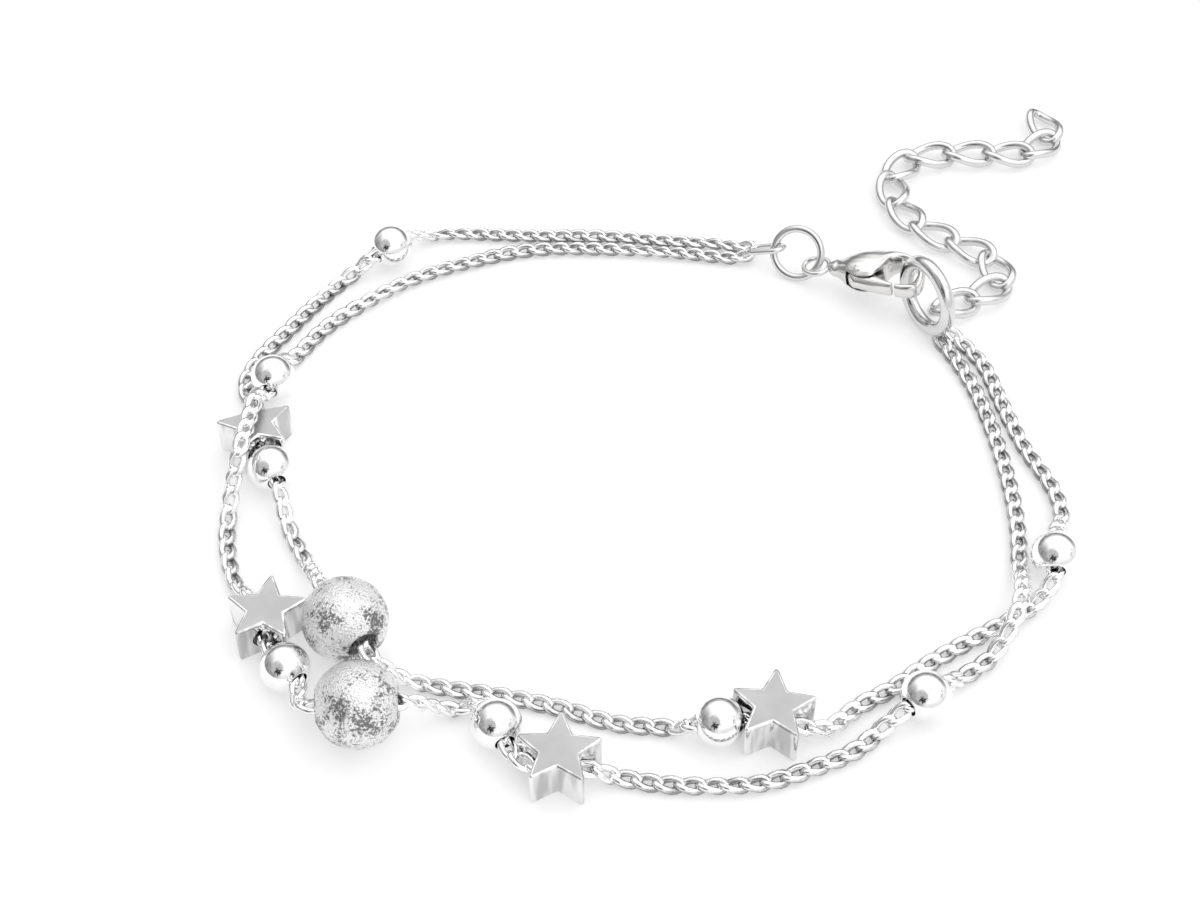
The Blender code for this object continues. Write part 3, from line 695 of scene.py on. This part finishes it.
def model_star(face_finish, side_finish):
    """A thick star: lapped faces, bright rounded rims and a bore through two notches."""
    half = STAR_THICKNESS / 2
    star = start_primitive(bpy.ops.mesh.primitive_circle_add, vertices=10, radius=STAR_RADIUS,
                           fill_type="TRIFAN", location=(0, 0, -half))
    bpy.ops.object.transform_apply(location=True, rotation=True, scale=True)
    set_mode("EDIT")

    def is_notch(middle):
        turn = (math.atan2(middle.y, middle.x) - math.pi / 2) / (math.pi / 5)
        return middle.xy.length > STAR_WAIST / 2 and round(turn) % 2 == 1

    select_parts(star, "verts", is_notch)
    share = STAR_WAIST / STAR_RADIUS
    bpy.ops.transform.resize(value=(share, share, 1), center_override=(0, 0, -half))
    bpy.ops.mesh.select_all(action="SELECT")
    bpy.ops.mesh.extrude_region_move(TRANSFORM_OT_translate={"value": (0, 0, STAR_THICKNESS)})
    # The upright edges at the five points get a small round.
    select_parts(star, "edges",
                 lambda middle: abs(middle.z) < half / 2 and middle.length > STAR_WAIST * 1.2)
    bpy.ops.mesh.bevel(offset=STAR_TIP, segments=8, affect="EDGES")
    bpy.ops.mesh.select_all(action="SELECT")
    bpy.ops.mesh.normals_make_consistent(inside=False)
    set_mode("OBJECT")
    apply_modifier(star, "BEVEL", width=STAR_RIM, segments=3, limit_method="ANGLE",
                   angle_limit=math.radians(60))
    set_mode("EDIT")
    bpy.ops.mesh.select_all(action="SELECT")
    bpy.ops.mesh.quads_convert_to_tris(quad_method="BEAUTY", ngon_method="BEAUTY")
    set_mode("OBJECT")
    drill = start_primitive(bpy.ops.mesh.primitive_cylinder_add, vertices=32,
                            radius=STAR_BORE / 2, depth=4 * STAR_RADIUS,
                            location=(0, STAR_BORE_OFFSET, 0), rotation=(0, math.pi / 2, 0))
    combine(star, drill, "DIFFERENCE")
    star.data.materials.clear()
    star.data.materials.append(side_finish)
    star.data.materials.append(face_finish)
    for face in star.data.polygons:
        if abs(face.normal.z) > 0.995 and abs(face.center.z) > half * 0.99:
            face.material_index = 1
    shade(star, 40)
    apply_modifier(star, "WEIGHTED_NORMAL", mode="FACE_AREA", weight=100, keep_sharp=True)
    return star


def ring_at(name, diameter, wire, place, finish):
    """A round ring of round wire."""
    made = start_primitive(bpy.ops.mesh.primitive_torus_add, major_segments=72,
                           minor_segments=16, major_radius=(diameter - wire) / 2,
                           minor_radius=wire / 2)
    made.name = name
    made.data.name = name
    made.data.transform(place)
    made.data.materials.append(finish)
    shade(made, 60)
    return made


def oval_link(name, place, finish):
    """The long oval link that gathers the strands, as a torus pulled out at its middle."""
    made = ring_at(name, LINK_WIDTH, LINK_WIRE, Matrix.Identity(4), finish)
    pull = (LINK_LENGTH - LINK_WIDTH) / 2
    for vertex in made.data.vertices:
        vertex.co.x += pull if vertex.co.x > 0 else -pull
    made.data.transform(place)
    return made


def clasp_frame():
    """The clasp's own frame: X from its eye to its nose, Z across its flat side."""
    turn = Matrix.Rotation(CLASP_HEADING, 4, "Z") @ Matrix.Rotation(-CLASP_PITCH, 4, "Y")
    x, y, z = CLASP_EYE_PLACE
    return Matrix.Translation(on_floor(x / MM, y / MM, z)) @ turn


def lofted(name, sections, sides):
    """A closed form through flattened rounds, each given by two places and a half thickness."""
    rows = []
    for i in range(len(sections) - 1):
        for k in range(SECTION_STEPS):
            t = k / SECTION_STEPS
            row = []
            for j in range(5):
                a, b, c, d = (sections[min(max(i + o, 0), len(sections) - 1)][j]
                              for o in (-1, 0, 1, 2))
                row.append(b + t * (c - a) / 2 + t * t * (a - 2.5 * b + 2 * c - d / 2)
                           + t**3 * (1.5 * b - a / 2 - 1.5 * c + d / 2))
            rows.append(row)
    rows.append(sections[-1])
    vertices = []
    for x0, y0, x1, y1, deep in rows:
        for k in range(sides):
            angle = 2 * math.pi * k / sides
            across = math.copysign(abs(math.cos(angle))**SECTION_ROUND, math.cos(angle))
            up = math.copysign(abs(math.sin(angle))**SECTION_ROUND, math.sin(angle))
            vertices.append((x0 + (x1 - x0) * (0.5 - across / 2),
                             y0 + (y1 - y0) * (0.5 - across / 2), deep * up))
    faces = []
    for i in range(len(rows) - 1):
        for k in range(sides):
            after = (k + 1) % sides
            faces.append((i * sides + k, i * sides + after,
                          (i + 1) * sides + after, (i + 1) * sides + k))
    last = (len(rows) - 1) * sides
    faces.append(tuple(range(sides)))
    faces.append(tuple(last + k for k in reversed(range(sides))))
    return piece_of(name, vertices, faces)


def combine(piece, other, operation):
    """A boolean with another object, which then goes."""
    apply_modifier(piece, "BOOLEAN", object=other, solver="EXACT", operation=operation)
    bpy.data.objects.remove(other)


def polish(piece, rounds, finish):
    """Remeshed fine and relaxed, which rounds every edge as polishing does."""
    apply_modifier(piece, "REMESH", mode="VOXEL", voxel_size=CAST_VOXEL)
    apply_modifier(piece, "SMOOTH", factor=0.5, iterations=rounds)
    shade(piece, 180)
    piece.data.materials.clear()
    piece.data.materials.append(finish)


def cast_body(finish):
    """The clasp's body: an eye, a collar, a domed back and a hook, with the lever's pocket."""
    half = CLASP_WIDTH / 2
    deep = CLASP_THICKNESS / 2
    sections = [(u0 * CLASP_LENGTH, w0 * half, u1 * CLASP_LENGTH, w1 * half, t * deep)
                for u0, w0, u1, w1, t in CLASP_SECTIONS]
    body = lofted("clasp_body_cast", sections, 28)
    around = LEVER_BOSS / 2 + PIN_CLEARANCE
    low_x = LEVER_PLACE[0] - around
    high_x = LEVER_PLACE[0] + LEVER_REACH * POCKET_REACH
    high_y = LEVER_PLACE[1] + around
    pocket = start_primitive(bpy.ops.mesh.primitive_cube_add, size=1.0,
                             location=((low_x + high_x) / 2, (high_y - CLASP_WIDTH) / 2, 0),
                             scale=(high_x - low_x, high_y + CLASP_WIDTH,
                                    LEVER_THICKNESS + 2 * PIN_CLEARANCE))
    combine(body, pocket, "DIFFERENCE")
    eye = start_primitive(bpy.ops.mesh.primitive_torus_add, major_segments=48, minor_segments=14,
                          major_radius=CLASP_EYE_RADIUS, minor_radius=CLASP_EYE_WIRE / 2)
    combine(body, eye, "UNION")
    pin = start_primitive(bpy.ops.mesh.primitive_cylinder_add, vertices=24, radius=LEVER_PIN / 2,
                          depth=CLASP_THICKNESS * PIN_SHARE, location=(*LEVER_PLACE, 0))
    combine(body, pin, "UNION")
    polish(body, BODY_ROUNDS, finish)
    body.data.transform(clasp_frame())
    stand_for(body, "clasp_body")


def cast_lever(finish):
    """The lever: a rounded boss and arm with the bore that turns on the pin."""
    deep = LEVER_THICKNESS / 2
    sections = [(x0 * LEVER_REACH, y0 * LEVER_REACH, x1 * LEVER_REACH, y1 * LEVER_REACH, t * deep)
                for x0, y0, x1, y1, t in LEVER_SECTIONS]
    lever = lofted("clasp_lever_cast", sections, 20)
    drill = start_primitive(bpy.ops.mesh.primitive_cylinder_add, vertices=24,
                            radius=LEVER_PIN / 2 + PIN_CLEARANCE, depth=4 * LEVER_THICKNESS)
    combine(lever, drill, "DIFFERENCE")
    polish(lever, LEVER_ROUNDS, finish)
    lever.data.transform(clasp_frame() @ Matrix.Translation((*LEVER_PLACE, 0)))
    stand_for(lever, "clasp_lever", "lever")


def make_camera():
    camera = bpy.data.objects.new("camera", bpy.data.cameras.new("camera"))
    bpy.context.scene.collection.objects.link(camera)
    camera.data.lens = CAMERA_LENS
    camera.data.sensor_width = 36.0
    camera.data.clip_start = 0.005
    camera.location = on_floor(*CAMERA_PLACE)
    camera.rotation_euler = (CAMERA_TILT, 0.0, 0.0)
    bpy.context.scene.camera = camera


def make_stage():
    """White paper that lifts its own shadows a little, as paper in a light tent does."""
    floor = start_primitive(bpy.ops.mesh.primitive_plane_add, size=4.0, location=(0, 0, -0.00002))
    floor.name = "floor"
    paper = bpy.data.materials.new("white_paper")
    paper.use_nodes = True
    shader = paper.node_tree.nodes["Principled BSDF"]
    shader.inputs["Base Color"].default_value = PAPER_COLOUR
    shader.inputs["Emission Color"].default_value = (1.0, 1.0, 1.0, 1.0)
    shader.inputs["Emission Strength"].default_value = PAPER_GLOW
    shader.inputs["Roughness"].default_value = 0.9
    shader.inputs["Specular IOR Level"].default_value = 0.0
    floor.data.materials.append(paper)


def make_strands():
    """Both strands' chains, with the beads, balls and stars on them."""
    bright = polished_metal("bright_silver", 0.94, 0.05)
    frosted = frosted_metal("frosted_silver")
    chain_silver = chain_metal("chain_silver", 0.08)
    models = {
        "bead": drilled_ball("bead_model", BEAD_DIAMETER, BEAD_BORE, BEAD_LIP, bright),
        "ball": drilled_ball("ball_model", BALL_DIAMETER, BALL_BORE, BALL_LIP, frosted, BALL_WALL,
                             BALL_SEGMENTS),
        "star": model_star(satin_metal("satin_silver"), streaked_metal("star_side", 0.10)),
    }
    charm_names = {
        "bead": [f"bead_{n}" for n in range(1, 9)],
        "ball": ["ball_outer", "ball_inner"],
        "star": ["star_a", "star_b", "star_c", "star_d"],
    }
    for node, route in (("strand_outer", OUTER_ROUTE), ("strand_inner", INNER_ROUTE)):
        stops, pinned, charms = read_route(route)
        for kind, place, turn in charms:
            charm_node = charm_names[kind].pop(0)
            whole = Matrix.Translation(place) @ Matrix.Rotation(turn, 4, "Z")
            made = copy_of(models[kind], charm_node + "_silver", whole)
            stand_for(made, charm_node)
        joints = joints_along(smooth_points(stops, ROUTE_STEP, pinned), STRAND_PITCH)
        chain = chain_of(node + "_chain", joints, STRAND_WIDTH, STRAND_WIRE, STRAND_TWIST,
                         LINK_POINTS, LINK_SIDES, chain_silver, True)
        stand_for(chain, node)
    for model in models.values():
        bpy.data.objects.remove(model)


def make_extender(finish):
    """The extender's links, from the end ring to its free end."""
    height = EXTENDER_WIDTH * 0.5 * math.sin(EXTENDER_TWIST) * EXTENDER_LIFT + EXTENDER_WIRE / 2
    stops = [on_floor(x, y, height) for x, y in EXTENDER_ROUTE]
    dense = smooth_points(stops, EXTENDER_PITCH / 30, set())
    joints = [dense[0]]
    for point in dense:
        if (point - joints[-1]).length >= EXTENDER_PITCH:
            joints.append(point)
    links = chain_of("extender_links", joints, EXTENDER_WIDTH, EXTENDER_WIRE, EXTENDER_TWIST,
                     EXTENDER_POINTS, EXTENDER_SIDES, finish)
    stand_for(links, "extender_chain")


def make_rings(finish):
    """The strand link and the jump ring on one side of the clasp, the end ring on the other."""
    start = on_floor(*[v / MM for v in LINK_START[:2]], LINK_START[2])
    end = on_floor(*[v / MM for v in LINK_END[:2]], LINK_END[2])
    place = frame_from((start + end) / 2, end - start, Vector(LINK_TILT))
    stand_for(oval_link("strand_link_wire", place, finish), "strand_link")

    radius = (JUMP_RING_DIAMETER - JUMP_RING_WIRE) / 2
    centre = on_floor(JUMP_RING_PLACE[0] / MM, JUMP_RING_PLACE[1] / MM,
                      radius * math.sin(JUMP_RING_LEAN) + JUMP_RING_WIRE / 2)
    place = (Matrix.Translation(centre) @ Matrix.Rotation(JUMP_RING_TURN, 4, "Z")
             @ Matrix.Rotation(JUMP_RING_LEAN, 4, "X"))
    ring = ring_at("jump_ring_wire", JUMP_RING_DIAMETER, JUMP_RING_WIRE, place, finish)
    stand_for(ring, "jump_ring")

    # The end ring stands on the floor and passes through the hook.
    radius = (END_RING_DIAMETER - END_RING_WIRE) / 2
    inside = CLASP_WINDOW_END * CLASP_LENGTH - CLEARANCE - END_RING_WIRE / 2
    held = clasp_frame() @ Vector((inside, -CLASP_WIDTH * RING_DROP, 0))
    height = radius + END_RING_WIRE / 2
    across = Vector((math.cos(END_RING_HEADING), math.sin(END_RING_HEADING), 0))
    reach = math.sqrt(radius**2 - (height - held.z)**2)
    centre = Vector((held.x, held.y, height)) + across * reach
    place = frame_from(centre, across, across.cross(Vector((0, 0, 1))))
    ring = ring_at("end_ring_wire", END_RING_DIAMETER, END_RING_WIRE, place, finish)
    stand_for(ring, "end_ring")


def main():
    bpy.context.scene.view_settings.view_transform = "Standard"
    make_camera()
    make_world()
    make_stage()
    make_strands()
    ring_silver = polished_metal("ring_silver", 0.72, 0.14)
    make_extender(ring_silver)
    make_rings(ring_silver)
    cast_silver = polished_metal("cast_silver", 0.72, 0.14, 0.012)
    cast_body(cast_silver)
    cast_lever(cast_silver)


main()
